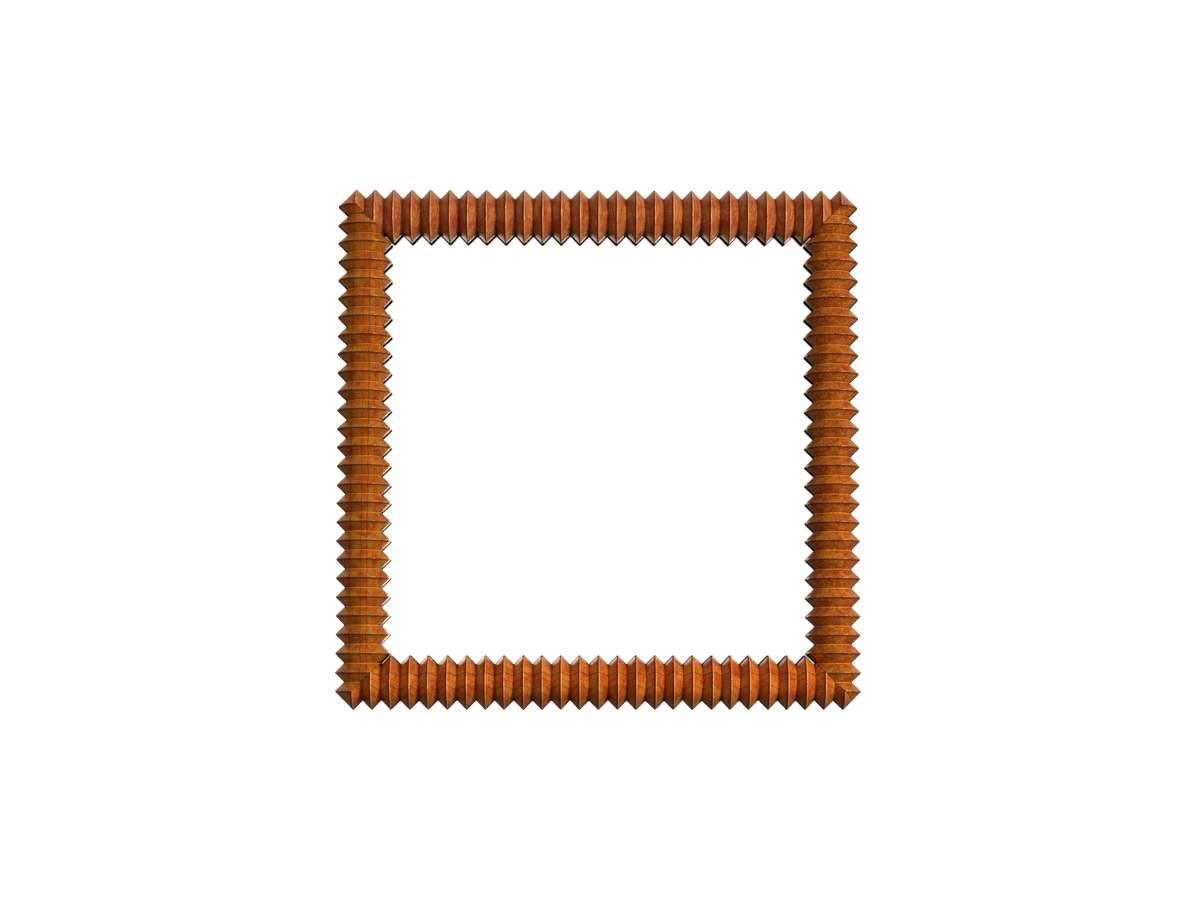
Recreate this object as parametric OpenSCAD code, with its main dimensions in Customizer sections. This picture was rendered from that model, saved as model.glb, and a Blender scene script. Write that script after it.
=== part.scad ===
// Square wall mirror with lathe-turned, ridged rails
// Front faces -Y, up is +Z, and the wall is the plane y = 0.

/* [Overall size] */
// Width over the outer ridge tips
width = 600; // [420:10:1200]
// Height over the outer ridge tips
height = 600; // [420:10:1200]

/* [Turned rails] */
// Diameter of the turning over its ridge crests
turning_d = 63; // [52:0.5:80]
// Wanted spacing of the ridges, rounded to a whole number on each side
ridge_spacing = 21.4; // [16:0.2:28]
// Depth of the grooves between the ridges
groove_depth = 10.4; // [6:0.1:13]
// Width of the narrow land left on each crest
crest_land = 0.6; // [0.2:0.1:2]

/* [Back frame] */
// Width of the flat frame glued behind the turnings
back_frame_w = 39; // [34:0.5:60]
// Thickness of the lip in front of the glass
lip_t = 6; // [3:0.5:9]
// Overlap of the lip on the edge of the glass
lip_w = 8; // [6:0.5:12]
// Depth left behind the backboard for its pins
board_recess = 2.8; // [2.2:0.1:6]
// Length of the corner keys along each outer edge
key_leg = 24; // [14:1:30]
// Thickness of the corner keys
key_t = 3; // [2:0.5:5]

/* [Glass and backboard] */
// Thickness of the mirror glass
glass_t = 4; // [3:0.5:6]
// Thickness of the packers round the edge of the glass
packer_t = 1.5; // [1:0.1:3]
// Length of each packer
packer_len = 30; // [15:1:60]
// Distance of each packer from the corner of the rebate
packer_inset = 90; // [40:5:150]
// Thickness of the hardboard back
board_t = 3.2; // [2:0.1:6]
// Gap round the edge of the backboard
board_gap = 0.9; // [0.5:0.1:2]

/* [Fasteners] */
// Length of the screws that hold the turnings
frame_screw_len = 30; // [24:1:34]
// Shank diameter of those screws
frame_screw_d = 4; // [3:0.5:5]
// Number of screws on each side
frame_screws_per_side = 4; // [2:1:8]
// Distance of the end screws from the outer corner
frame_screw_inset = 72; // [60:1:120]
// Diameter of the backboard pins
pin_d = 1.4; // [1:0.1:2]
// Length of the backboard pins
pin_len = 16; // [12:1:20]
// Length of each pin that is driven into the rebate wall
pin_embed = 8; // [6:1:12]
// Number of pins on each side
pins_per_side = 4; // [2:1:8]
// Distance of the end pins from the corner of the rebate
pin_inset = 62; // [30:1:120]
// Gap round a driven screw or pin
drive_gap = 0.05; // [0.02:0.01:0.1]

/* [Hangers] */
// Distance from the top of the mirror down to the hinge of the rings
hanger_drop = 130; // [100:5:170]
// Width of the strap plate and its knuckle
strap_w = 12; // [8:0.5:16]
// Length of the strap plate below the hinge
strap_len = 34; // [26:1:50]
// Thickness of the strap
strap_t = 1; // [0.8:0.1:1.6]
// Diameter of the ring's wire
ring_wire_d = 2.4; // [2:0.1:4]
// Clear width inside the ring
ring_inside_w = 18; // [17:0.5:24]
// Length of the ring's straight legs, from its bar to its round end
ring_leg = 5; // [4:0.5:10]
// Bend radius of the ring's two corners, to the middle of the wire
ring_bend_r = 2.6; // [2.2:0.1:3]
// Running gap between the ring's bar and its knuckle
hinge_gap = 0.05; // [0.02:0.01:0.1]
// Gap between the hanging ring and its plate
ring_rest_gap = 0.3; // [0.2:0.1:1]
// Length of the strap's screws
strap_screw_len = 12; // [9:1:14]
// Shank diameter of the strap's screws
strap_screw_d = 3; // [2.5:0.5:4]

/* [Wall pads] */
// Diameter of the rubber pads
pad_d = 12; // [8:1:20]
// Thickness of the rubber pads
pad_t = 6; // [5.5:0.5:10]
// Distance of the pads from the outer corner, along the top and bottom
pad_inset = 50; // [46:1:56]

/* [Hidden] */
$fn = 64;

// Turn of each side about the depth axis, and half the mirror's size in that direction
TOP = [0, height / 2];
RIGHT = [90, width / 2];
BOTTOM = [180, height / 2];
LEFT = [270, width / 2];
SIDES = [[TOP, width], [RIGHT, height], [BOTTOM, width], [LEFT, height]];

// Depths, from the wall at y = 0 to the front
back_frame_t = lip_t + glass_t + board_t + board_recess;
back_y = -pad_t;
front_y = back_y - back_frame_t;
glass_y = front_y + lip_t;
board_y = glass_y + glass_t;
board_back_y = board_y + board_t;

// Insets from the outer ridge tips towards the middle of the mirror
turning_r = turning_d / 2;
frame_outer = turning_r - back_frame_w / 2;
rebate_wall = frame_outer + back_frame_w - lip_w;
solid_centre = (frame_outer + rebate_wall) / 2;
mitre_reach = turning_d + 1;

// Screw heads and small details
head_ratio = 2;
head_rim = 0.3;
screw_point = 4;
driver_slot_w = 1;
driver_slot_depth = 0.9;
strap_screw_places = [0.35, 0.79];
pin_seat_gap = 0.02;
pad_chamfer = 0.8;

// Hinge of the rings
ring_wire_r = ring_wire_d / 2;
ring_half_w = ring_inside_w / 2 + ring_wire_r;
hinge_y = back_y + strap_t + ring_rest_gap + ring_wire_r;
hinge_z = height / 2 - hanger_drop;
hanger_x = width / 2 - solid_centre;

// Places that share out a side: even steps between two end insets
function spread(length, inset, count) =
    [for (i = [0 : count - 1]) -length / 2 + inset + i * (length - 2 * inset) / (count - 1)];

// Puts a piece that is drawn with its outer edge at z = 0 on one side of the mirror
module on_side(side) {
    rotate([0, side[0], 0]) translate([0, 0, side[1]]) children();
}

// Puts a piece that is drawn on the hinge axis on the left (-1) or right (1) stile
module on_hinge(hand) {
    translate([hand * hanger_x, hinge_y, hinge_z]) children();
}

// Keeps what lies between the two mitres of a side of this length
module mitred(length) {
    intersection() {
        children();
        rotate([90, 0, 0])
            linear_extrude(4 * turning_d, center = true)
                polygon([
                    [-length / 2, 0],
                    [length / 2, 0],
                    [length / 2 - mitre_reach, -mitre_reach],
                    [-length / 2 + mitre_reach, -mitre_reach],
                ]);
    }
}

// Half outline of the turning: sharp ridges from the first groove to the last
module ridge_outline(length) {
    pitches = round(length / ridge_spacing);
    pitch = length / pitches;
    groove_r = turning_r - groove_depth;
    ridges = [
        for (i = [1 : pitches - 1])
            for (p = [[groove_r, -pitch / 2], [turning_r, -crest_land / 2], [turning_r, crest_land / 2]])
                [p[0], p[1] - length / 2 + i * pitch]
    ];
    polygon(concat(
        [[0, (pitch - length) / 2]],
        ridges,
        [[groove_r, (length - pitch) / 2], [0, (length - pitch) / 2]]
    ));
}

// Split turning: half of a ridged round, flat on its back, mitred at both ends
module turned_side(length) {
    difference() {
        mitred(length)
            translate([0, front_y, -turning_r])
                rotate([0, 90, 0])
                    rotate([0, 0, 180])
                        rotate_extrude(angle = 180) ridge_outline(length);
        frame_screw_row(length, drive_gap);
    }
}

// Triangular key in the plane of the back frame, drawn from the frame's outer corner
module corner_key(hand_x, hand_z) {
    translate([hand_x * (width / 2 - frame_outer), (front_y + back_y) / 2, hand_z * (height / 2 - frame_outer)])
        rotate([90, 0, 0])
            linear_extrude(key_t, center = true)
                polygon([[0, 0], [-hand_x * key_leg, 0], [0, -hand_z * key_leg]]);
}

// Section of the back frame: a bar with a rebate behind its inner lip
module back_frame_section() {
    polygon([
        [front_y, -frame_outer],
        [back_y, -frame_outer],
        [back_y, -rebate_wall],
        [glass_y, -rebate_wall],
        [glass_y, -rebate_wall - lip_w],
        [front_y, -rebate_wall - lip_w],
    ]);
}

// One mitred member of the back frame, slotted for its keys and drilled for screws and pins
module back_frame_side(side, length) {
    difference() {
        on_side(side)
            difference() {
                mitred(length)
                    rotate([90, 0, 90]) linear_extrude(length, center = true) back_frame_section();
                frame_screw_row(length, drive_gap);
                pin_row(length, drive_gap);
            }
        for (hand_x = [-1, 1])
            for (hand_z = [-1, 1])
                corner_key(hand_x, hand_z);
        hanger_screw_set(drive_gap);
    }
}

// Countersunk screw along -Z from its head at z = 0, or its hole when a gap is given
module countersunk(shank_d, length, gap) {
    shank_r = shank_d / 2 + gap;
    head_r = shank_d * head_ratio / 2 + gap;
    rotate_extrude()
        polygon([
            [0, gap],
            [head_r, gap],
            [head_r, -head_rim],
            [shank_r, -head_rim - (head_r - shank_r)],
            [shank_r, screw_point - length],
            [0, -length - gap],
        ]);
}

// Screw with a slot for the driver
module slotted_screw(shank_d, length) {
    difference() {
        countersunk(shank_d, length, 0);
        cube([shank_d * head_ratio + 1, driver_slot_w, 2 * driver_slot_depth], center = true);
    }
}

// Row of screws, or their holes, through one side of the back frame into its turning
module frame_screw_row(length, gap) {
    for (x = spread(length, frame_screw_inset, frame_screws_per_side))
        translate([x, back_y, -solid_centre])
            rotate([-90, 0, 0])
                if (gap > 0)
                    countersunk(frame_screw_d, frame_screw_len, gap);
                else
                    slotted_screw(frame_screw_d, frame_screw_len);
}

// Row of pins, or their holes, driven into the rebate wall of one side
module pin_row(length, gap) {
    for (x = spread(length - 2 * rebate_wall, pin_inset, pins_per_side))
        translate([x, board_back_y + pin_d / 2 + pin_seat_gap, -rebate_wall + pin_embed + gap - pin_len])
            cylinder(d = pin_d + 2 * gap, h = pin_len);
}

// Packers along one side, between the edge of the glass and the rebate wall
module packer_row(length) {
    for (x = spread(length - 2 * rebate_wall, packer_inset, 2))
        translate([x - packer_len / 2, glass_y, -rebate_wall - packer_t])
            cube([packer_len, glass_t, packer_t]);
}

// Strap plate below the hinge, with a rolled knuckle round the ring's bar
module hanger_plate(hand) {
    plate_y = back_y - hinge_y;
    knuckle_r = ring_wire_r + hinge_gap;
    difference() {
        union() {
            translate([0, plate_y + strap_t, 0])
                rotate([90, 0, 0])
                    linear_extrude(strap_t) {
                        translate([-strap_w / 2, strap_w / 2 - strap_len]) square([strap_w, strap_len - strap_w / 2]);
                        translate([0, strap_w / 2 - strap_len]) circle(d = strap_w);
                    }
            rotate([0, 90, 0]) cylinder(r = knuckle_r + strap_t, h = strap_w, center = true);
        }
        rotate([0, 90, 0]) cylinder(r = knuckle_r, h = 2 * strap_w, center = true);
        translate([-hand * hanger_x, -hinge_y, -hinge_z]) hanger_screw_pair(hand, drive_gap);
    }
}

// Screws, or their holes, through one strap plate
module hanger_screw_pair(hand, gap) {
    for (place = strap_screw_places)
        translate([hand * hanger_x, back_y + strap_t, hinge_z - place * strap_len])
            rotate([-90, 0, 0])
                if (gap > 0)
                    countersunk(strap_screw_d, strap_screw_len, gap);
                else
                    slotted_screw(strap_screw_d, strap_screw_len);
}

// Both pairs of strap screws, or their holes
module hanger_screw_set(gap) {
    for (hand = [-1, 1])
        hanger_screw_pair(hand, gap);
}

// Part of a round wire bent through an angle, from the direction given
module wire_bend(bend_r, from, sweep) {
    rotate([0, 0, from]) rotate_extrude(angle = sweep) translate([bend_r, 0]) circle(r = ring_wire_r);
}

// D-shaped ring hanging from its straight bar, which lies on the hinge axis
module hanger_ring() {
    corner_x = ring_half_w - ring_bend_r;
    rotate([90, 0, 0]) {
        rotate([0, 90, 0]) cylinder(r = ring_wire_r, h = 2 * corner_x, center = true);
        for (hand = [-1, 1]) {
            translate([hand * corner_x, -ring_bend_r]) wire_bend(ring_bend_r, 45 - 45 * hand, 90);
            translate([hand * ring_half_w, -ring_bend_r])
                rotate([90, 0, 0]) cylinder(r = ring_wire_r, h = ring_leg - ring_bend_r);
        }
        translate([0, -ring_leg]) wire_bend(ring_half_w, 180, 180);
    }
}

// Rubber pad on the back frame, with a small chamfer round its wall face
module wall_pad(hand_x, hand_z) {
    translate([hand_x * (width / 2 - pad_inset), back_y, hand_z * (height / 2 - solid_centre)])
        rotate([-90, 0, 0])
            rotate_extrude()
                polygon([
                    [0, 0],
                    [pad_d / 2, 0],
                    [pad_d / 2, pad_t - pad_chamfer],
                    [pad_d / 2 - pad_chamfer, pad_t],
                    [0, pad_t],
                ]);
}

module top_rail() { color("chocolate") on_side(TOP) turned_side(width); }
module bottom_rail() { color("chocolate") on_side(BOTTOM) turned_side(width); }
module left_stile() { color("peru") on_side(LEFT) turned_side(height); }
module right_stile() { color("peru") on_side(RIGHT) turned_side(height); }

module back_frame_top() { color("sienna") back_frame_side(TOP, width); }
module back_frame_bottom() { color("sienna") back_frame_side(BOTTOM, width); }
module back_frame_left() { color("sienna") back_frame_side(LEFT, height); }
module back_frame_right() { color("sienna") back_frame_side(RIGHT, height); }

module corner_key_top_left() { color("burlywood") corner_key(-1, 1); }
module corner_key_top_right() { color("burlywood") corner_key(1, 1); }
module corner_key_bottom_left() { color("burlywood") corner_key(-1, -1); }
module corner_key_bottom_right() { color("burlywood") corner_key(1, -1); }

module frame_screws() {
    color("goldenrod")
        for (s = SIDES)
            on_side(s[0]) frame_screw_row(s[1], 0);
}

module mirror_glass() {
    color("white")
        translate([0, glass_y + glass_t / 2, 0])
            cube([width - 2 * (rebate_wall + packer_t), glass_t, height - 2 * (rebate_wall + packer_t)], center = true);
}

module glass_packers() {
    color("tan")
        for (s = SIDES)
            on_side(s[0]) packer_row(s[1]);
}

module backboard() {
    color("saddlebrown")
        translate([0, board_y + board_t / 2, 0])
            cube([width - 2 * (rebate_wall + board_gap), board_t, height - 2 * (rebate_wall + board_gap)], center = true);
}

module backboard_pins() {
    color("gray")
        for (s = SIDES)
            on_side(s[0]) pin_row(s[1], 0);
}

module hanger_plate_left() { color("goldenrod") on_hinge(-1) hanger_plate(-1); }
module hanger_plate_right() { color("goldenrod") on_hinge(1) hanger_plate(1); }
module hanger_ring_left() { color("gold") on_hinge(-1) hanger_ring(); }
module hanger_ring_right() { color("gold") on_hinge(1) hanger_ring(); }
module hanger_screws() { color("darkgoldenrod") hanger_screw_set(0); }

module wall_pad_top_left() { color("dimgray") wall_pad(-1, 1); }
module wall_pad_top_right() { color("dimgray") wall_pad(1, 1); }
module wall_pad_bottom_left() { color("dimgray") wall_pad(-1, -1); }
module wall_pad_bottom_right() { color("dimgray") wall_pad(1, -1); }

top_rail();
bottom_rail();
left_stile();
right_stile();
back_frame_top();
back_frame_bottom();
back_frame_left();
back_frame_right();
corner_key_top_left();
corner_key_top_right();
corner_key_bottom_left();
corner_key_bottom_right();
frame_screws();
mirror_glass();
glass_packers();
backboard();
backboard_pins();
hanger_plate_left();
hanger_plate_right();
hanger_ring_left();
hanger_ring_right();
hanger_screws();
wall_pad_top_left();
wall_pad_top_right();
wall_pad_bottom_left();
wall_pad_bottom_right();
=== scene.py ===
# %% [markdown]
# A square wall mirror with a frame of four lathe-turned lengths of hardwood. Each length is half of
# a ridged round, so its front is a row of sharp V-ridges and its back is flat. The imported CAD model
# is the fixed frame: every piece that is made here takes its place from it, in metres, with the front
# facing -Y, +X to the right and +Z up.

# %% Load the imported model
import math

import bmesh
import bpy
import numpy as np
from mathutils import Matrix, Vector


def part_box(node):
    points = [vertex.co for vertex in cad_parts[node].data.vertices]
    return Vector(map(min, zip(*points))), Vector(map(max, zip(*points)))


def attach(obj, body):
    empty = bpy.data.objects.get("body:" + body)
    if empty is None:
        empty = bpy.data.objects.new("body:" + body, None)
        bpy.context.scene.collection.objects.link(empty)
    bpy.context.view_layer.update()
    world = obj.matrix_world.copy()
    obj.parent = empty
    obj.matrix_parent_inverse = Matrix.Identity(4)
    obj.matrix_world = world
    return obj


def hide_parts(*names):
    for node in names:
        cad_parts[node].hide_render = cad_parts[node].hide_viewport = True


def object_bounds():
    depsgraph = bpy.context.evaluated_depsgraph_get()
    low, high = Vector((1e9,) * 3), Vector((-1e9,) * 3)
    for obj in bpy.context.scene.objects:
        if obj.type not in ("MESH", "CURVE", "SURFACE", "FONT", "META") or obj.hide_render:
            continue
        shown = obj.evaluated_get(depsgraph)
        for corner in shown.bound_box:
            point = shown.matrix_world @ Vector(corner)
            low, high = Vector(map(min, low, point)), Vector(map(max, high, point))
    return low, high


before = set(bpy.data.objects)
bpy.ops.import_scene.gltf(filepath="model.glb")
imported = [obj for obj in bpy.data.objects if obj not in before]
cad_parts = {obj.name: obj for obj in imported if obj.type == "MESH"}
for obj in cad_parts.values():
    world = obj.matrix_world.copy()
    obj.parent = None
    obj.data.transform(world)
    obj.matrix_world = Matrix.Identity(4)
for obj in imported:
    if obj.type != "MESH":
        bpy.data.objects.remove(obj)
cad_low, cad_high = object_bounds()
MM = 0.001
print("nodes:", len(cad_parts), "size in mm:", [round(v / MM, 1) for v in cad_high - cad_low])

# %% [markdown]
# The camera comes first. The mirror was photographed from about three metres, from below its middle
# and a little to the left of it, which bows the crests of the uprights upwards. A long lens and a
# small upward shift give that view, and the lens is tilted so little that the uprights hardly lean.
# The middle of the mirror lies a pixel or two off the middle of the picture.

# %% Camera
PHOTO_W = 1200
FOCAL_PX = 2610
SENSOR_MM = 36
CAMERA_AT = np.array([-0.044, -3.000, -0.329])
CAMERA_PITCH = math.radians(4.4)
OBJECT_PX = (-1.6, 1.7)
RAIL_BACK_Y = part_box("top_rail")[1].y

camera_data = bpy.data.cameras.new("camera")
camera_data.sensor_width = SENSOR_MM
camera_data.lens = SENSOR_MM * FOCAL_PX / PHOTO_W
camera = bpy.data.objects.new("camera", camera_data)
bpy.context.scene.collection.objects.link(camera)
bpy.context.scene.camera = camera

reach = np.array([0, RAIL_BACK_Y, 0]) - CAMERA_AT
yaw = math.atan2(reach[0], reach[1])
rise = math.atan2(reach[2], math.hypot(reach[0], reach[1]))
camera.location = CAMERA_AT
camera.rotation_euler = (math.pi / 2 + CAMERA_PITCH, 0, -yaw)
camera_data.shift_y = (math.tan(rise - CAMERA_PITCH) * FOCAL_PX - OBJECT_PX[1]) / PHOTO_W
camera_data.shift_x = -OBJECT_PX[0] / PHOTO_W
print("lens", camera_data.lens, "shift", round(camera_data.shift_x, 4), round(camera_data.shift_y, 4))

# %% [markdown]
# Small helpers keep the materials readable. One turns a colour from the hex value that a designer
# reads off a swatch to the linear value that a shader needs. The next adds a shader node, fills its
# inputs, and gives back the one output that the next node needs. Where the inputs of a node share a
# name, a number picks one: a MapRange takes the range from 1 to 2 and turns it to the range from 3 to
# 4, and a Mix of colours goes from 6 to 7.

# %% Helpers for materials
SMOOTH = {"interpolation_type": "SMOOTHSTEP"}
BLEND = {"out": 2, "data_type": "RGBA"}


def colour(hex_value):
    """sRGB hex to linear RGBA: c / 12.92 below 0.04045, else ((c + 0.055) / 1.055) ^ 2.4."""
    srgb = np.array([int(hex_value[i:i + 2], 16) for i in (1, 3, 5)]) / 255
    linear = np.where(srgb <= 0.04045, srgb / 12.92, ((srgb + 0.055) / 1.055) ** 2.4)
    return (*linear.tolist(), 1.0)


def noise_scale(patch_mm):
    """Scale of a noise with patches this wide: a light and a dark one share one unit of the noise."""
    return 0.5 / (patch_mm * MM)


def add(tree, kind, inputs=None, out=0, **settings):
    """Adds a node, sets its properties, fills its inputs, and returns one output, or all if out is None."""
    node = tree.nodes.new("ShaderNode" + kind)
    for name, value in settings.items():
        setattr(node, name, value)
    for socket, value in (inputs or {}).items():
        if isinstance(value, bpy.types.NodeSocket):
            tree.links.new(value, node.inputs[socket])
        else:
            node.inputs[socket].default_value = value
    return node.outputs if out is None else node.outputs[out] if len(node.outputs) else None


def new_material(name):
    """An empty material, its tree, and the Object coordinates of the piece that wears it."""
    material = bpy.data.materials.new(name)
    material.use_nodes = True
    material.node_tree.nodes.clear()
    return material, material.node_tree, add(material.node_tree, "TexCoord", out="Object")


def finished(tree, shader):
    """Joins a shader to the material's output."""
    add(tree, "OutputMaterial", {"Surface": shader})


print("the middle grey of a swatch is", round(colour("#808080")[0], 3), "for a shader")

# %% [markdown]
# The room is a plain white studio. A world made of nodes can show each kind of ray what it needs. The
# lacquer sees a dark room, because its colours stay deep in the photograph and whiten only at their
# edges. The room is bright behind the mirror, more so above, and bright in front of it, apart from the
# right. The key lamp gives too sharp a gleam, so the lacquer sees a soft glow of the world instead.

# %% The room that the lacquer sees
ROOM_DARK = 0.03
ROOM_LOW = 0.15
ROOM_HIGH = 0.62
BEHIND_Y = (0.0, 0.35)
BEHIND_Z = (-0.4, 0.7)
FRONT_Y = (-0.70, -0.86)
FRONT_X = (0.22, 0.08)
KEY_GLOW = 15.0
KEY_X = (0.56, 0.68)
KEY_Y = (-0.46, -0.58)

world = bpy.data.worlds.new("white_studio")
bpy.context.scene.world = world
world.use_nodes = True
world.node_tree.nodes.clear()
tree = world.node_tree
to_x, to_y, to_z = add(tree, "SeparateXYZ", {0: add(tree, "TexCoord", out="Generated")}, out=None)
ray = add(tree, "LightPath", out=None)
unmirrored = add(tree, "Math", {0: 1.0, 1: ray["Is Singular Ray"]}, operation="SUBTRACT")

in_front = add(tree, "MapRange", {0: to_y, 1: FRONT_Y[0], 2: FRONT_Y[1]}, **SMOOTH)
not_right = add(tree, "MapRange", {0: to_x, 1: FRONT_X[0], 2: FRONT_X[1]}, **SMOOTH)
front = add(tree, "Math", {0: in_front, 1: not_right}, operation="MULTIPLY")
behind = add(tree, "MapRange", {0: to_y, 1: BEHIND_Y[0], 2: BEHIND_Y[1]}, **SMOOTH)
upper = add(tree, "MapRange", {0: to_z, 1: BEHIND_Z[0], 2: BEHIND_Z[1], 3: ROOM_LOW, 4: ROOM_HIGH},
            **SMOOTH)
back = add(tree, "Math", {0: behind, 1: upper}, operation="MULTIPLY")
beside = add(tree, "MapRange", {0: to_x, 1: KEY_X[0], 2: KEY_X[1], 4: KEY_GLOW}, **SMOOTH)
facing = add(tree, "MapRange", {0: to_y, 1: KEY_Y[0], 2: KEY_Y[1]}, **SMOOTH)
key = add(tree, "Math", {0: beside, 1: facing}, operation="MULTIPLY")
front = add(tree, "Math", {0: front, 1: unmirrored}, operation="MULTIPLY")
key = add(tree, "Math", {0: key, 1: unmirrored}, operation="MULTIPLY")
room = add(tree, "Math", {0: back, 1: ROOM_DARK}, operation="MAXIMUM")
for glow in (front, key):
    room = add(tree, "Math", {0: room, 1: glow}, operation="MAXIMUM")
print("room:", len(tree.nodes), "nodes")

# %% [markdown]
# The mirror throws the white room back at the wood round it, which edges the inner flanks with cream.
# It comes from in front, brighter from above, and in two parts: a wedge that opens to the left, wider
# above than below, and a stronger spot almost straight ahead, to the right and below.

# %% The light that the mirror throws
THROWN_LOW = 2.4
THROWN_HIGH = 3.6
THROWN_Z = (0.05, 0.30)
THROWN_Y = (-0.55, -0.86)
SPOT = 2.3
SPOT_Y = (-0.875, -0.945)
SPOT_X = (-0.10, 0.04)
SPOT_LEFT = 0.05
SPOT_LIFT = (0.14, 0.06)
WEDGE = (0.16, -0.01)
WEDGE_SIDE = 0.9
WEDGE_ABOVE = 0.9
WEDGE_BELOW = -1.7

bright = add(tree, "MapRange", {0: to_z, 1: THROWN_Z[0], 2: THROWN_Z[1], 3: THROWN_LOW, 4: THROWN_HIGH})
thrown = add(tree, "MapRange", {0: to_y, 1: THROWN_Y[0], 2: THROWN_Y[1], 4: bright}, **SMOOTH)
spot = add(tree, "MapRange", {0: to_y, 1: SPOT_Y[0], 2: SPOT_Y[1], 4: SPOT}, **SMOOTH)
rightward = add(tree, "MapRange", {0: to_x, 1: SPOT_X[0], 2: SPOT_X[1], 3: SPOT_LEFT}, **SMOOTH)
lift = add(tree, "Math", {0: to_z, 1: to_x}, operation="SUBTRACT")
level = add(tree, "MapRange", {0: lift, 1: SPOT_LIFT[0], 2: SPOT_LIFT[1]}, **SMOOTH)
for limit in (rightward, level):
    spot = add(tree, "Math", {0: spot, 1: limit}, operation="MULTIPLY")
above = add(tree, "Math", {0: to_z, 1: WEDGE_ABOVE}, operation="MULTIPLY")
below = add(tree, "Math", {0: to_z, 1: WEDGE_BELOW}, operation="MULTIPLY")
off_level = add(tree, "Math", {0: above, 1: below}, operation="MAXIMUM")
slant = add(tree, "Math", {0: to_x, 1: WEDGE_SIDE, 2: off_level}, operation="MULTIPLY_ADD")
wedge = add(tree, "MapRange", {0: slant, 1: WEDGE[0], 2: WEDGE[1]}, **SMOOTH)
both = add(tree, "Math", {0: spot, 1: wedge}, operation="MAXIMUM")
for limit in (both, ray["Is Singular Ray"]):
    thrown = add(tree, "Math", {0: thrown, 1: limit}, operation="MULTIPLY")
room = add(tree, "Math", {0: room, 1: thrown}, operation="MAXIMUM")
print("with the mirror:", len(tree.nodes), "nodes")

# %% [markdown]
# The wood itself is lit softly, less from below than from above. Rays that come straight from the
# camera, or from it by way of the mirror alone, see plain white, as the background of the photograph
# is. The world counts one bounce more than a surface does, so such a mirror ray has a depth of 2.

# %% Soft light, and white for the camera
SKY_BELOW = 0.04
SKY_ABOVE = 0.56
SKY_Z = (-0.8, 0.3)
STRAIGHT = 2.5
UNSCATTERED = 0.5

first = add(tree, "Math", {0: ray["Diffuse Depth"], 1: UNSCATTERED}, operation="LESS_THAN")
gloss = add(tree, "Math", {0: ray["Is Glossy Ray"], 1: first}, operation="MULTIPLY")
matt = add(tree, "Math", {0: 1.0, 1: gloss}, operation="SUBTRACT")
straight = add(tree, "Math", {0: ray["Ray Depth"], 1: STRAIGHT}, operation="LESS_THAN")
mirrored = add(tree, "Math", {0: ray["Is Singular Ray"], 1: straight}, operation="MULTIPLY")
glossed = add(tree, "Math", {0: gloss, 1: mirrored}, operation="SUBTRACT")
glossed = add(tree, "Math", {0: glossed, 1: room}, operation="MULTIPLY")
sky = add(tree, "MapRange", {0: to_z, 1: SKY_Z[0], 2: SKY_Z[1], 3: SKY_BELOW, 4: SKY_ABOVE}, **SMOOTH)
sky = add(tree, "Math", {0: sky, 1: matt}, operation="MULTIPLY")
seen = add(tree, "Math", {0: ray["Is Camera Ray"], 1: ray["Is Transmission Ray"]}, operation="MAXIMUM")
seen = add(tree, "Math", {0: seen, 1: mirrored}, operation="MAXIMUM")
soft = add(tree, "Background", {"Color": colour("#fff8f0"), "Strength": sky})
warm = add(tree, "Background", {"Color": colour("#ffecc6"), "Strength": glossed})
white = add(tree, "Background", {"Color": colour("#ffffff"), "Strength": seen})
lit = add(tree, "AddShader", {0: soft, 1: warm})
add(tree, "OutputWorld", {"Surface": add(tree, "AddShader", {0: lit, 1: white})})

bpy.context.scene.view_settings.view_transform = "Standard"
print("world:", len(tree.nodes), "nodes")

# %% [markdown]
# One lamp stands in front, to the right and a little above the middle, because each ridge's right
# flank is bright, its left flank is dark, and a curved shadow lies in each groove. A wider lamp behind
# is only there for whoever turns the mirror round. The lacquer sees neither of them.

# %% Lamps
LAMP_DISTANCE = 2.6
LAMP_WATTS = 55
LAMPS = {
    "key_lamp": dict(towards=(0.74, -0.66, 0.06), width=0.32, height=0.80),
    "back_lamp": dict(towards=(0.20, 0.95, 0.20), width=0.80, height=0.80),
}
for name, lamp in LAMPS.items():
    data = bpy.data.lights.new(name, "AREA")
    data.shape = "RECTANGLE"
    data.size = lamp["width"]
    data.size_y = lamp["height"]
    data.energy = LAMP_WATTS
    data.color = colour("#fff3e4")[:3]
    lamp_object = bpy.data.objects.new(name, data)
    direction = np.array(lamp["towards"]) / np.linalg.norm(lamp["towards"])
    lamp_object.location = direction * LAMP_DISTANCE
    lamp_object.rotation_euler = (-lamp_object.location).to_track_quat("-Z", "Y").to_euler()
    lamp_object.visible_camera = False
    lamp_object.visible_glossy = False
    bpy.context.scene.collection.objects.link(lamp_object)
    print(name, [round(v, 2) for v in lamp_object.location])

# %% [markdown]
# The floor is plain and pale, far enough down to stay out of the picture. It throws no light on the
# wood and isn't seen by the lacquer, so the mirror looks the same with it and without it.

# %% Floor
FLOOR_Z = -1.2
FLOOR_HALF = 5.0
FLOOR_CORNERS = ((-1, -1), (1, -1), (1, 1), (-1, 1))

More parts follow.
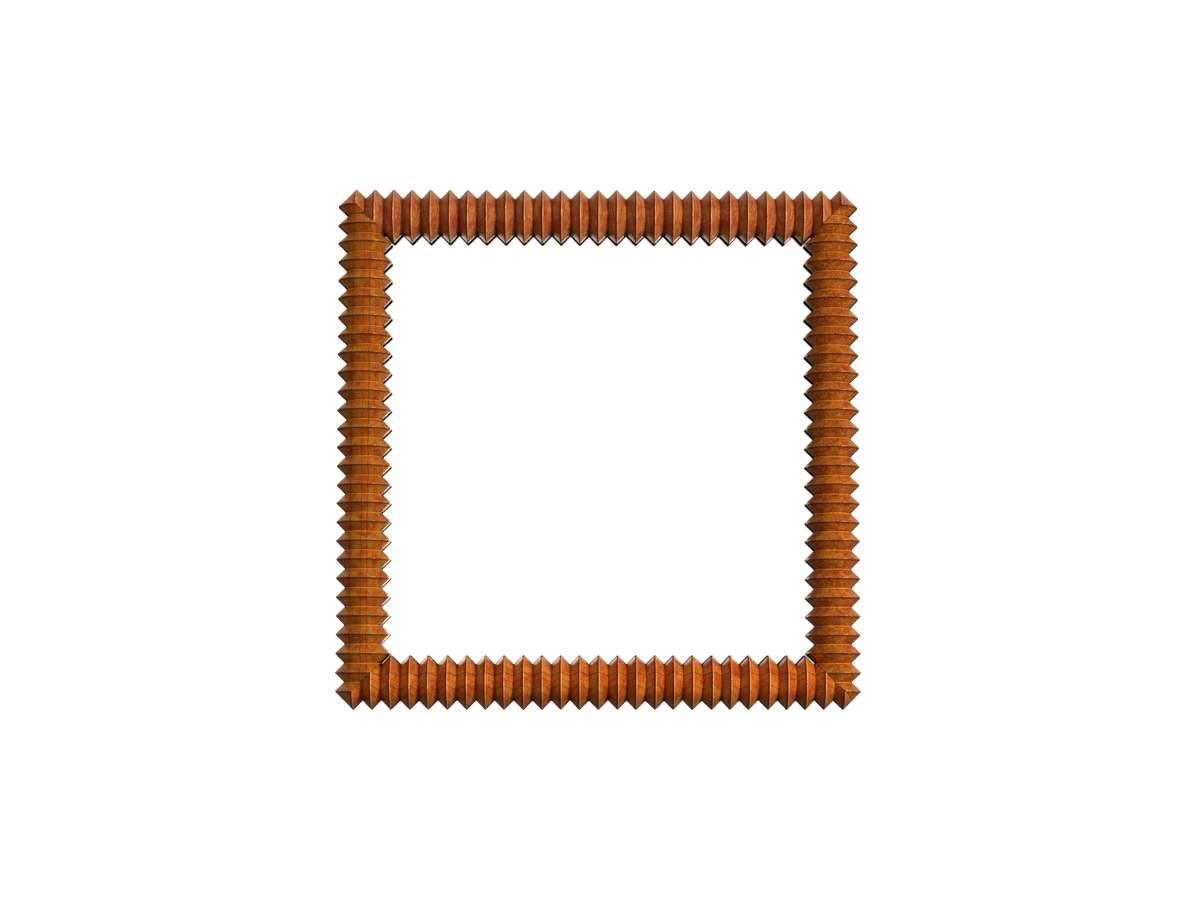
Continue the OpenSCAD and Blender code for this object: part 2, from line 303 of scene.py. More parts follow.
floor_mesh = bpy.data.meshes.new("floor")
floor_mesh.from_pydata([(x * FLOOR_HALF, y * FLOOR_HALF, FLOOR_Z) for x, y in FLOOR_CORNERS], [],
                       [(0, 1, 2, 3)])
floor_paint, tree, _ = new_material("matt_floor_paint")
finished(tree, add(tree, "BsdfPrincipled", {"Base Color": colour("#e9e7e4"), "Roughness": 0.8}))
floor_mesh.materials.append(floor_paint)
floor = bpy.data.objects.new("floor", floor_mesh)
floor.visible_diffuse = False
floor.visible_glossy = False
bpy.context.scene.collection.objects.link(floor)
print("floor at", FLOOR_Z, "m")

# %% [markdown]
# A turned rail could be a cylinder cut by a modifier, but then its ridges would all be the same and
# its mitres would need Booleans. Here it is a surface of two parameters: the place along the rail and
# the angle round it. It starts with one flank of a ridge, which is straight but for a crest that is
# eased over as sandpaper does it, and a groove nearly as sharp as the point of the tool.

# %% Flank of a ridge
RAIL_R = (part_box("top_rail")[1].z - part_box("top_rail")[0].z) / 2
RAIL_LENGTH = cad_high.x - cad_low.x
RIDGES = 27
GROOVE = 10.4 * MM
PITCH = RAIL_LENGTH / (RIDGES + 1)
CREST_EASE = 0.65 * MM
GROOVE_EASE = 0.30 * MM
FLANK_STEPS = 12
FINE_STEPS = 2001


def flank():
    """Place and drop from a crest at 0 to a groove at 1.

    The slope at t is tanh(t / crest ease) tanh((1 - t) / groove ease): flat at both ends, even between.
    """
    fine = np.linspace(0, 1, FINE_STEPS)
    half = PITCH / 2
    slope = np.tanh(fine * half / CREST_EASE) * np.tanh((1 - fine) * half / GROOVE_EASE)
    drop = np.concatenate([[0], np.cumsum((slope[1:] + slope[:-1]) / 2)])
    t = (1 - np.cos(math.pi * np.arange(FLANK_STEPS + 1) / FLANK_STEPS)) / 2
    return t, np.interp(t, fine, drop / drop[-1])


print("pitch", round(PITCH / MM, 2), "mm, radius", round(RAIL_R / MM, 2), "mm")

# %% [markdown]
# The profile is a row of such flanks, up to a crest and down to the next groove. A hand-turned ridge
# is never quite where it should be, so each one moves a little, from seeded random numbers. The first
# and the last ridge keep their places and the end grooves their depth, so that the rails meet.

# %% Profile of a turned rail
SPACING_ERROR = 0.55 * MM
CREST_ERROR = 0.25 * MM
GROOVE_ERROR = 0.45 * MM


def turned_profile(seed):
    """Stations along the rail, their radius, their relief and their side of the crest.

    Relief is 0 in a groove and 1 on a crest. The side is -1 before a crest, 1 after it, and 0 on it.
    """
    random = np.random.default_rng(seed)
    index = np.arange(1, RIDGES + 1)
    inner = (index > 1) & (index < RIDGES)
    crest_x = -RAIL_LENGTH / 2 + index * PITCH + inner * random.uniform(-1, 1, RIDGES) * SPACING_ERROR
    crest_r = RAIL_R - random.uniform(0, 1, RIDGES) * CREST_ERROR
    groove_x = np.concatenate([[crest_x[0] - PITCH / 2], (crest_x[1:] + crest_x[:-1]) / 2,
                               [crest_x[-1] + PITCH / 2]])
    groove_r = RAIL_R - GROOVE + random.uniform(-1, 1, RIDGES + 1) * GROOVE_ERROR
    groove_r[[0, -1]] = RAIL_R - GROOVE

    t, drop = flank()
    x, r, relief, side = [], [], [], []
    for edge_x, edge_r, order, sign in ((groove_x[:-1], groove_r[:-1], slice(None, 0, -1), -1.0),
                                        (groove_x[1:], groove_r[1:], slice(None, -1), 1.0)):
        x.append((crest_x[:, None] + (edge_x - crest_x)[:, None] * t)[:, order])
        r.append((crest_r[:, None] + (edge_r - crest_r)[:, None] * drop)[:, order])
        relief.append(np.tile(1 - drop, (RIDGES, 1))[:, order])
        side.append(np.tile(np.where((t > 0) & (t < 1), sign, 0), (RIDGES, 1))[:, order])
    middle = [np.concatenate(pair, axis=1).ravel() for pair in (x, r, relief, side)]
    ends = ((-RAIL_LENGTH / 2, RAIL_LENGTH / 2), (RAIL_R - GROOVE,) * 2, (0, 0), (0, 0))
    last = (groove_x[-1], groove_r[-1], 0, 0)
    return [np.concatenate([[a], part, [c, b]]) for (a, b), part, c in zip(ends, middle, last)]


stations, radii, relief, side = turned_profile(seed=1)
print(len(stations), "stations, grooves", round((RAIL_R - radii.min()) / MM, 2), "mm deep at most")

# %% [markdown]
# The mitre is the next difficulty. Along each line of the surface, the place from which it stays inside
# the 45 degree cut is worked out, and every station outside it slides to that place. Faces that
# collapse on the way are dropped, so the mitre edge is exact and the mesh stays a closed grid.

# %% Where the mitre cuts
MITRE_GAP = 0.10 * MM
FINE_STEP = 0.04 * MM
MITRE_SEARCH = 70 * MM


def mitre_distance(angles, stations, radii):
    """Distance e of the cut from each end, for every line of the surface.

    It is the last e that is less than R - r(e) sin(angle) + gap sqrt(2).
    """
    e = np.arange(0, MITRE_SEARCH, FINE_STEP)
    cuts = []
    for side in (-1, 1):
        r = np.interp(side * (RAIL_LENGTH / 2 - e), stations, radii)
        inside = e[:, None] - RAIL_R + r[:, None] * np.sin(angles) - MITRE_GAP * math.sqrt(2)
        last = len(e) - 1 - np.argmax((inside < 0)[::-1], axis=0)
        column = np.arange(len(angles))
        before, after = inside[last, column], inside[last + 1, column]
        cuts.append(e[last] - before / (after - before) * FINE_STEP)
    return cuts


near, far = mitre_distance(np.array([-math.pi / 2, 0, math.pi / 2]), stations, radii)
print("cut at the inner edge, the front and the outer edge, in mm:", np.round(near / MM, 2))

# %% [markdown]
# Sanding left the crests a little uneven. A noise would do, but it would not keep to each ridge, so a
# sum of four waves runs round it instead, and no two ridges have the same waves.

# %% Uneven crests
ROUND_STEPS = 64
ANGLES = np.linspace(-math.pi / 2, math.pi / 2, ROUND_STEPS + 1)
WOBBLE_WAVES = (3, 5, 8, 13)


def sanded_crests(seed, stations):
    """Unevenness of the ridge at each station and angle: the sum of weight sin(n angle + phase) / n."""
    random = np.random.default_rng(seed + 100)
    wobble = np.zeros((RIDGES, ROUND_STEPS + 1))
    for waves in WOBBLE_WAVES:
        phase = random.uniform(0, 2 * math.pi, RIDGES)
        wobble += random.uniform(0.3, 1, RIDGES)[:, None] * np.sin(waves * ANGLES + phase[:, None]) / waves
    ridge = np.clip(np.round((stations + RAIL_LENGTH / 2) / PITCH).astype(int) - 1, 0, RIDGES - 1)
    return wobble[ridge]


wobble = sanded_crests(1, stations)
print("the waves run from", round(wobble.min(), 2), "to", round(wobble.max(), 2))

# %% [markdown]
# Now every station can be carried round its half circle. The waves lower the crests here and there, and
# fade out at the mitres, where the two rails have to meet.

# %% Points of a turned rail
WOBBLE = 0.16 * MM
CREST_BEGINS = 0.80
MITRE_FADE = 3 * MM


def turned_points(seed):
    """Points of half a ridged round in the rail's own frame, its marks, its stations and its mitres.

    A point at place u along the rail, angle a and radius r lies at (u, back - r cos a, r sin a - R),
    with the outer edge of the mirror at the third coordinate 0. The marks are its relief and its side.
    """
    stations, radii, relief, side = turned_profile(seed)
    near, far = mitre_distance(ANGLES, stations, radii)
    low, high = -RAIL_LENGTH / 2 + near, RAIL_LENGTH / 2 - far
    u = np.clip(stations[:, None], low, high)
    r = np.interp(u, stations, radii)
    height = np.interp(u, stations, relief)
    side = np.interp(u, stations, side)

    near_crest = np.clip((height - CREST_BEGINS) / (1 - CREST_BEGINS), 0, 1) ** 2
    clear = np.clip(np.minimum(u - low, high - u) / MITRE_FADE, 0, 1)
    r = r - near_crest * clear * WOBBLE * (0.5 + sanded_crests(seed, stations))
    r = np.minimum(r, RAIL_R)
    points = np.stack([u, RAIL_BACK_Y - r * np.cos(ANGLES), r * np.sin(ANGLES) - RAIL_R], axis=-1)
    return points.reshape(-1, 3), {"relief": height.ravel(), "side": side.ravel()}, stations, low, high


points, marks, stations, low, high = turned_points(seed=1)
print(len(points), "points in a rail's grid")

# %% [markdown]
# The faces join each point to its neighbours along and round the rail, and the last line to the first,
# which makes the flat back. A point that the mitre passes takes the number of the point on the cut, so a
# face that has collapsed shows by its equal numbers.

# %% Faces of a turned rail
def turned_faces(stations, low, high):
    """Faces of the grid between the two mitres, given by the low and the high end of every line."""
    rows, columns = len(stations), len(low)
    first = np.argmax(stations[:, None] > low, axis=0) - 1
    final = rows - np.argmax((stations[:, None] < high)[::-1], axis=0)
    row = np.clip(np.arange(rows)[:, None], first, final)
    number = row * columns + np.arange(columns)
    across = np.roll(number, -1, axis=1)
    quads = np.stack([number[:-1], number[1:], across[1:], across[:-1]], axis=-1).reshape(-1, 4)
    flat_a, flat_c = quads[:, 0] == quads[:, 1], quads[:, 2] == quads[:, 3]
    faces = quads[~flat_a & ~flat_c].tolist()
    faces += quads[flat_a & ~flat_c][:, [0, 2, 3]].tolist()
    faces += quads[~flat_a & flat_c][:, [0, 1, 2]].tolist()
    faces += [number[0].tolist(), number[-1, ::-1].tolist()]
    return faces


print(len(turned_faces(stations, low, high)), "faces in a rail")

# %% [markdown]
# Every side is drawn once as the top rail and turned to its place in whole quarters, so its mesh is in
# the mirror's own frame and its object can stay at the origin. Each has its own seed, so no two sides
# are alike.

# %% Make the four rails
QUARTER = math.pi / 2
SHARP_FACET = math.radians(32)


def mesh_piece(name, points, faces, marks=None):
    """Puts computed points and faces into an object at the origin, without the points no face uses."""
    used = np.unique(np.concatenate([np.asarray(face) for face in faces]))
    renumber = np.zeros(len(points), int)
    renumber[used] = np.arange(len(used))
    mesh = bpy.data.meshes.new(name)
    mesh.from_pydata(points[used].tolist(), [], [renumber[face].tolist() for face in faces])
    for mark, values in (marks or {}).items():
        mesh.attributes.new(mark, "FLOAT", "POINT").data.foreach_set("value", values[used])
    mesh.polygons.foreach_set("use_smooth", np.ones(len(mesh.polygons), bool))
    mesh.set_sharp_from_angle(angle=SHARP_FACET)
    piece = bpy.data.objects.new(name, mesh)
    bpy.context.scene.collection.objects.link(piece)
    return piece


def on_side(points, turn, half):
    """Turns a side drawn with its outer edge at z = 0 about Y, and moves it out to that edge."""
    c, s = round(math.cos(turn)), round(math.sin(turn))
    x, y, z = points[:, 0], points[:, 1], points[:, 2] + half
    return np.stack([c * x + s * z, y, c * z - s * x], axis=-1)


# The third number of each side turns its side mark to 1 on the half of each ridge that the key lamp lights,
# where the painted highlights go, and to -1 where the painted shade goes.
SIDES = {
    "top_rail": (0, 11, 1),
    "right_stile": (1, 12, -1),
    "bottom_rail": (2, 13, -1),
    "left_stile": (3, 14, 1),
}
rails = {}
for name, (quarter, seed, drawn) in SIDES.items():
    points, marks, *ends = turned_points(seed)
    faces = turned_faces(*ends)
    points = on_side(points, quarter * QUARTER, RAIL_LENGTH / 2)
    marks["side"] = marks["side"] * drawn
    rails[name] = mesh_piece("turned_" + name, points, faces, marks)
    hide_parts(name)
    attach(rails[name], "mirror")
    print(name, len(rails[name].data.polygons), "faces")

# %% [markdown]
# The rails are a red-brown hardwood, stained and lacquered after turning. The figure is cut from a
# solid block: growth rings are sheets round the heart of the tree, so a cone-shaped flank cuts them
# into arcs, which no flat wood picture can give. A noise along the distance from the heart gives the
# faint years, and a few hard years are drawn as sharp dark lines at distances of their own, broken
# here and there where the stain took less.

# %% Growth rings
GRAIN_STRETCH = 9.0
WANDER_MM = 5.0
WANDER_PATCH_MM = 40
YEAR_MM = 1.7
LATE_WOOD = (0.46, 0.72)
FADED_PATCH_MM = 8
FADED = (0.35, 0.60)
FADED_LEFT = 0.55


def growth_rings(tree, solid, rings, years_strength):
    """Strength of the dark lines, from the distance sqrt(y^2 + z^2) from the heart and its noise.

    Each ring is its distance from the heart, the width of its line, both in mm, and its strength.
    """
    across = add(tree, "VectorMath", {0: solid, 1: (0, 1, 1)}, operation="MULTIPLY")
    radius = add(tree, "VectorMath", {0: across}, out="Value", operation="LENGTH")
    wander = add(tree, "TexNoise", {"Vector": solid, "Scale": noise_scale(WANDER_PATCH_MM), "Detail": 4.0})
    wander = add(tree, "Math", {0: wander, 1: 0.5}, operation="SUBTRACT")
    radius = add(tree, "Math", {0: wander, 1: WANDER_MM * MM, 2: radius}, operation="MULTIPLY_ADD")
    years = add(tree, "Math", {0: radius, 1: 1 / (YEAR_MM * MM)}, operation="MULTIPLY")
    years = add(tree, "TexNoise", {"W": years, "Scale": 1.0, "Detail": 1.0}, noise_dimensions="1D")
    late = add(tree, "MapRange", {0: years, 1: LATE_WOOD[0], 2: LATE_WOOD[1], 4: years_strength}, **SMOOTH)
    for distance, width, strength in rings:
        off = add(tree, "Math", {0: radius, 1: distance * MM}, operation="SUBTRACT")
        off = add(tree, "Math", {0: off}, operation="ABSOLUTE")
        line = add(tree, "MapRange", {0: off, 1: width * MM, 2: 0.0, 4: strength}, **SMOOTH)
        late = add(tree, "Math", {0: late, 1: line}, operation="MAXIMUM")
    faded = add(tree, "TexNoise", {"Vector": solid, "Scale": noise_scale(FADED_PATCH_MM), "Detail": 2.0})
    faded = add(tree, "MapRange", {0: faded, 1: FADED[0], 2: FADED[1], 3: FADED_LEFT, 4: 1.0}, **SMOOTH)
    return add(tree, "Math", {0: late, 1: faded}, operation="MULTIPLY")


print("one year is", YEAR_MM, "mm, wandering by", WANDER_MM / 2, "mm")

# %% [markdown]
# Stain never takes evenly. Close up the wood has golden and dark flecks a millimetre across. Under them
# lie ruddy and honey-coloured patches of some millimetres, and under those a slow change from light to
# dark. The pores are drawn out along the grain, and a few times wider than real ones, which would not
# show. The darkest thing is the late wood.

# %% Colour of the wood
TONE_MM = 11
TONE = (0.32, 0.68)
PORE_MM = 0.45
PORES = (0.54, 0.72)
PORE_STRENGTH = 0.42
FLECK_MM = 1.1
GOLDEN = (0.47, 0.32)
DARKENED = (0.50, 0.68)
BLUSH_MM = 7.0
RUDDY = (0.52, 0.35)
HONEYED = (0.50, 0.67)
BLUSH_STRENGTH = 0.60


def wood_colour(tree, place, solid, late, tints, mottle):
    """Colour, slow tone and pores of the wood; mottle is the strength of the flecks."""
    tone = add(tree, "TexNoise", {"Vector": place, "Scale": noise_scale(TONE_MM), "Detail": 3.0})
    tone = add(tree, "MapRange", {0: tone, 1: TONE[0], 2: TONE[1]}, **SMOOTH)
    pores = add(tree, "TexNoise", {"Vector": solid, "Scale": noise_scale(PORE_MM), "Detail": 2.0})
    pores = add(tree, "MapRange", {0: pores, 1: PORES[0], 2: PORES[1]}, **SMOOTH)
    pores = add(tree, "Math", {0: pores, 1: PORE_STRENGTH}, operation="MULTIPLY")
    fleck, blush = [add(tree, "TexNoise", {"Vector": place, "Scale": noise_scale(patch), "Detail": 3.0,
                                           "Roughness": 0.6}) for patch in (FLECK_MM, BLUSH_MM)]
    base = add(tree, "Mix", {0: tone, 6: colour(tints["middle"]), 7: colour(tints["light"])}, **BLEND)
    for noise, (start, end), strength, tint in ((blush, RUDDY, BLUSH_STRENGTH, "ruddy"),
                                                (blush, HONEYED, BLUSH_STRENGTH, "honey"),
                                                (fleck, GOLDEN, mottle, "gold"),
                                                (fleck, DARKENED, mottle, "dark")):
        patch = add(tree, "MapRange", {0: noise, 1: start, 2: end, 4: strength}, **SMOOTH)
        base = add(tree, "Mix", {0: patch, 6: base, 7: colour(tints[tint])}, **BLEND)
    for line in (pores, late):
        base = add(tree, "Mix", {0: line, 6: base, 7: colour(tints["dark"])}, **BLEND)
    return base, tone, pores


print("patches of", FLECK_MM, BLUSH_MM, "and", TONE_MM, "mm")

# %% [markdown]
# Each crest carries a painted highlight on the side that the key lamp lights and a line of painted
# shade on its other side. The grooves carry painted shade, and on the stiles also a painted highlight
# on their lit side. The mesh carries the height of each ridge and which side of it the lamp lights as
# attributes, so the lines follow every ridge.

# %% Painted light and shade on crests and in grooves
# Painted highlights and shade: a pale line on the lit side of each crest, a dark line on its shaded side,
# dark lines in the grooves, and on the stiles a pale line on the lit side of each groove.
RAIL_PAINTED_LIGHT = ((0.965, 0.055, 0.50, "#ffc090", 1), (0.92, 0.13, 0.85, "#440c02", -1),
              (0.04, 0.11, 0.60, "#2c0c04", -1), (0.0, 0.06, 0.65, "#2c0c04", 1))
STILE_PAINTED_LIGHT = ((0.965, 0.055, 0.10, "#ffb478", 1), (0.92, 0.13, 0.85, "#440c02", -1),
               (0.06, 0.07, 0.75, "#ffa43c", 1), (0.03, 0.09, 0.45, "#3c1408", -1))


def painted_light_lines(tree, base, relief, lines):
    """Each painted highlight or shade line is its height on the ridge, its reach up and down, its strength,
    colour and side.
    """
    side = add(tree, "Attribute", out="Fac", attribute_name="side")
    # side is 1 on the half of a ridge that the key lamp lights, so each line is painted on its lit or its
    # shaded half.
    for height, reach, strength, tint, where in lines:
        off = add(tree, "Math", {0: relief, 1: height}, operation="SUBTRACT")
        off = add(tree, "Math", {0: off}, operation="ABSOLUTE")
        line = add(tree, "MapRange", {0: off, 1: reach, 2: 0.0, 4: strength}, **SMOOTH)
        here = add(tree, "Math", {0: side, 1: where}, operation="MULTIPLY", use_clamp=True)
        line = add(tree, "Math", {0: line, 1: here}, operation="MULTIPLY")
        base = add(tree, "Mix", {0: line, 6: base, 7: colour(tint)}, **BLEND)
    return base


print(len(RAIL_PAINTED_LIGHT), "lines on a rail's ridge,", len(STILE_PAINTED_LIGHT), "on a stile's")

# %% [markdown]
# The flat backs are stained black. Round their edges runs a matt black band of painted shade some
# millimetres wide, wider outside than inside on three of the sides. In front of it lies a wider band
# of painted shade, and a dark line of old glue and dirt shows in each mitre.

# %% Painted shade at the edges, the mitres and the stained back
AXIS_AT = RAIL_LENGTH / 2 - RAIL_R
EDGE_SHADE_MM = (11.0, 5.0)
EDGE_SHADE = 0.60
OUTLINE_FADE = 2.0 * MM
SEAM = (0.50 * MM, 0.10 * MM)
SEAM_DARK = 0.8
STAINED_BACK = 0.25 * MM


def dark_edges(tree, base, place, outline_mm):
    """Colour with painted shade along the edges, and where the black band of painted shade lies; outline_mm
    is its inner and outer width, in mm.
    """
    x, y, z = add(tree, "SeparateXYZ", {0: place}, out=None)
    x = add(tree, "Math", {0: x}, operation="ABSOLUTE")
    z = add(tree, "Math", {0: z}, operation="ABSOLUTE")
    begins, full = [RAIL_BACK_Y - reach * MM for reach in EDGE_SHADE_MM]
    # Painted shade: a dark band in front of the flat back, darker towards it.
    edge = add(tree, "MapRange", {0: y, 1: begins, 2: full, 4: EDGE_SHADE}, **SMOOTH)

    # Painted shade: a black band round the edges, with its own width on the inner and on the outer edge.
    out = add(tree, "Math", {0: x, 1: z}, operation="MAXIMUM")
    outer = add(tree, "Math", {0: out, 1: AXIS_AT}, operation="GREATER_THAN")
    reach = add(tree, "MapRange", {0: outer, 3: outline_mm[0] * MM, 4: outline_mm[1] * MM})
    depth = add(tree, "Math", {0: RAIL_BACK_Y, 1: y}, operation="SUBTRACT")
    past = add(tree, "Math", {0: depth, 1: reach}, operation="SUBTRACT")
    outline_shade = add(tree, "MapRange", {0: past, 1: OUTLINE_FADE, 2: 0.0}, **SMOOTH)

    off = add(tree, "Math", {0: x, 1: z}, operation="SUBTRACT")
    off = add(tree, "Math", {0: off}, operation="ABSOLUTE")
    seam = add(tree, "MapRange", {0: off, 1: SEAM[0], 2: SEAM[1], 4: SEAM_DARK}, **SMOOTH)
    back = add(tree, "Math", {0: y, 1: RAIL_BACK_Y - STAINED_BACK}, operation="GREATER_THAN")
    # The two bands of painted shade, then the dark mitre line and the black stain of the back.
    for amount, tint in ((edge, "#2a1006"), (outline_shade, "#1a0d07"), (seam, "#2a1208"), (back, "#0b0908")):
        base = add(tree, "Mix", {0: amount, 6: base, 7: colour(tint)}, **BLEND)
    return base, outline_shade


print("axis of a turning", round(AXIS_AT / MM, 2), "mm from the middle")

# %% [markdown]
# Lacquer is a clear coat over the wood: the wood below has almost no gloss of its own, and the coat is
# thin in the grooves, where the rag never reached, and gone in the black band of painted shade at the edges.

# %% Lacquered hardwood
COAT_BARE = 0.02
COAT_FULL = 0.75
COAT_HEIGHT = (0.02, 0.30)
PALE_ROUGH = 0.34
DARK_ROUGH = 0.42


def turned_hardwood(name, heart, turn, rings, years_strength, mottle, tints, lines, outline_mm):
    """Lacquered hardwood with the heart of its tree at this place, in metres, turned this way."""
    material, tree, place = new_material(name)
    solid = add(tree, "Mapping", {"Vector": place, "Location": heart, "Rotation": turn,
                                  "Scale": (GRAIN_STRETCH, 1, 1)}, vector_type="TEXTURE")
    relief = add(tree, "Attribute", out="Fac", attribute_name="relief")
    late = growth_rings(tree, solid, rings, years_strength)
    base, tone, pores = wood_colour(tree, place, solid, late, tints, mottle)
    base = painted_light_lines(tree, base, relief, lines)
    base, outline_shade = dark_edges(tree, base, place, outline_mm)

    bump = add(tree, "Bump", {"Height": pores, "Strength": 0.15, "Distance": 0.15 * MM})
    rough = add(tree, "MapRange", {0: tone, 3: DARK_ROUGH, 4: PALE_ROUGH})
    # The black band of painted shade is matt and has no coat.
    rough = add(tree, "MapRange", {0: outline_shade, 3: rough, 4: 1.0})
    lacquer = add(tree, "MapRange", {0: relief, 1: COAT_HEIGHT[0], 2: COAT_HEIGHT[1], 3: COAT_BARE,
                                     4: COAT_FULL}, **SMOOTH)
    unshaded = add(tree, "Math", {0: 1.0, 1: outline_shade}, operation="SUBTRACT")
    lacquer = add(tree, "Math", {0: lacquer, 1: unshaded}, operation="MULTIPLY")
    finished(tree, add(tree, "BsdfPrincipled", {
        "Base Color": base, "Roughness": rough, "Specular IOR Level": 0.12, "Normal": bump,
        "Coat Weight": lacquer, "Coat Roughness": 0.18, "Coat IOR": 1.50}))
    return material


print("coat", COAT_BARE, "in a groove,", COAT_FULL, "from", COAT_HEIGHT[1], "of the height of a ridge")

# %% [markdown]
# The four sides were cut from different boards, so each has its own heart, rings and colours. The top
# rail is the pinkest, the bottom rail is a bright red-orange, and the stiles are golden brown. The
# widest ring of the bottom rail is painted shade over the lower part of that rail.

# %% Wood of each side
WOODS = {
    "top_rail": dict(
        heart=(0.4, 0.120, AXIS_AT - 0.030), turn=(0, 0.01, 0.02), years_strength=0.40, mottle=0.40,
        rings=((155, 0.9, 0.7), (163, 0.9, 0.8), (170, 0.8, 0.6), (148, 0.8, 0.6)),
        tints=dict(light="#d27a42", middle="#ac4e1a", dark="#56200a", gold="#e29258",
                   ruddy="#a2361a", honey="#c87a34"),
        lines=RAIL_PAINTED_LIGHT, outline_mm=(2.0, 7.5)),
    # The last ring of the bottom rail, 22 mm wide, is painted shade that darkens the lower outer part of the
    # rail.
    "bottom_rail": dict(
        heart=(-0.3, -0.124, -AXIS_AT - 0.176), turn=(0, -0.004, -0.004), years_strength=0.15,
        mottle=0.35, rings=((200.0, 1.1, 0.85), (186.0, 0.9, 0.65), (179.0, 0.9, 0.65),
                            (172.5, 0.8, 0.60), (193.0, 0.7, 0.50), (164.0, 22.0, 0.95)),
        tints=dict(light="#de7822", middle="#bc500a", dark="#4a1204", gold="#f09c44",
                   ruddy="#ae3a0c", honey="#d88a26"),
        lines=RAIL_PAINTED_LIGHT, outline_mm=(7.5, 7.0)),
    "left_stile": dict(
        heart=(-AXIS_AT - 0.120, -0.047, 0.3), turn=(0.003, QUARTER + 0.003, 0), years_strength=0.25,
        mottle=0.45, rings=((120.5, 1.1, 0.8), (127.0, 1.0, 0.8), (108.0, 1.4, 0.6), (134.0, 0.7, 0.4)),
        tints=dict(light="#d2781e", middle="#ba6014", dark="#5a2208", gold="#e89a3c",
                   ruddy="#9e4016", honey="#c88c28"),
        lines=STILE_PAINTED_LIGHT, outline_mm=(1.6, 8.0)),
    "right_stile": dict(
        heart=(AXIS_AT - 0.020, 0.050, -0.2), turn=(0.015, QUARTER - 0.02, 0), years_strength=0.30,
        mottle=0.65, rings=((88, 0.6, 0.4), (97, 0.6, 0.4)),
        tints=dict(light="#c46c1c", middle="#a64e10", dark="#5a2208", gold="#e89838",
                   ruddy="#923816", honey="#b87c22"),
        lines=STILE_PAINTED_LIGHT, outline_mm=(2.0, 8.0)),
}
for name, wood in WOODS.items():
    rails[name].data.materials.append(turned_hardwood("lacquered_hardwood_" + name, **wood))
    print(name, "has", len(wood["rings"]), "hard years")

# %% [markdown]
# A mirror plate is float glass with silver behind it. It could be a clear plate over a sheet of metal,
# but from the front the two are simply a perfect mirror, so one metal face does. Rays that reach it
# straight from the camera find the white room. The grey paint that protects the silver covers the
# sides and the back.

# %% Mirror plate
GLASS_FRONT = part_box("mirror_glass")[0].y
PAINT_BEGINS = 0.2 * MM
PAINT_ROUGH = 0.5


def wear(node, material):
    """Puts a material on every face of a carried CAD node."""
    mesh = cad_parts[node].data
    mesh.materials.clear()
    mesh.materials.append(material)


silvered_glass, tree, place = new_material("silvered_float_glass")
depth = add(tree, "SeparateXYZ", {0: place}, out=1)
paint = add(tree, "Math", {0: depth, 1: GLASS_FRONT + PAINT_BEGINS}, operation="GREATER_THAN")
base = add(tree, "Mix", {0: paint, 6: colour("#ffffff"), 7: colour("#5d6468")}, **BLEND)
metal = add(tree, "Math", {0: 1.0, 1: paint}, operation="SUBTRACT")
rough = add(tree, "Math", {0: paint, 1: PAINT_ROUGH}, operation="MULTIPLY")
finished(tree, add(tree, "BsdfPrincipled", {"Base Color": base, "Metallic": metal, "Roughness": rough}))
wear("mirror_glass", silvered_glass)
print("glass wears", silvered_glass.name)

# %% [markdown]
# Behind the turnings lies a flat frame that carries the glass. It is planed beech under a thin black
# stain: the stain is dark enough to hide in the mirror, but the grain still shows through it, and it
# is rubbed brown in places. The CAD shape is right apart from its knife edges, so a copy of its mesh
# is merged, its flat faces are joined, and every sharp edge is eased with a small bevel.

# %% Eased copies of carried shapes
SAME_POINT = 0.002 * MM
SLIVER = 0.001 * MM
FLAT = math.radians(0.5)
SHARP = math.radians(25)
SHADE_SHARP = math.radians(16)


def eased_copy(node, body, ease_mm):
    """A copy of a CAD node's mesh, merged, with each edge sharper than SHARP cut back by ease_mm."""
    shape = bmesh.new()
    shape.from_mesh(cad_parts[node].data)
    bmesh.ops.remove_doubles(shape, verts=shape.verts, dist=SAME_POINT)
    bmesh.ops.dissolve_limit(shape, angle_limit=FLAT, verts=shape.verts, edges=shape.edges)
    sharp = [edge for edge in shape.edges if len(edge.link_faces) == 2 and edge.calc_face_angle() > SHARP]
    bmesh.ops.bevel(shape, geom=sharp, offset=ease_mm * MM, segments=2, profile=0.5, affect="EDGES",
                    clamp_overlap=True)
    bmesh.ops.dissolve_degenerate(shape, dist=SLIVER, edges=shape.edges)
    bmesh.ops.triangulate(shape, faces=[face for face in shape.faces if len(face.verts) > 4])
    mesh = bpy.data.meshes.new("eased_" + node)
    shape.to_mesh(mesh)
    shape.free()
    mesh.polygons.foreach_set("use_smooth", np.ones(len(mesh.polygons), bool))
    mesh.set_sharp_from_angle(angle=SHADE_SHARP)
    piece = bpy.data.objects.new("eased_" + node, mesh)
    bpy.context.scene.collection.objects.link(piece)
    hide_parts(node)
    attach(piece, body)
    return piece


print("edges over", round(math.degrees(SHARP)), "degrees are eased")

# %% [markdown]
# Planed beech has fine pores drawn out along the grain. The stain gathers in them, so they are darker
# than the wood and a little lower, which one noise stretched along the member gives for both. Real
# pores are a few times finer, and would not show.

# %% Back frame of stained beech
BEECH_STRETCH = 14
BEECH_TILT = (0.004, 0.006)
BEECH_GRAIN_MM = 1.6
BEECH_PORE_MM = 0.35
BEECH_GRAIN = (0.35, 0.70)
BEECH_PORES = (0.50, 0.66)
BEECH_ROUGH = (0.62, 0.50)
RUB_MM = 22
RUBBED = (0.52, 0.75)
RUB = 0.35
EASE_FRAME_MM = 0.5


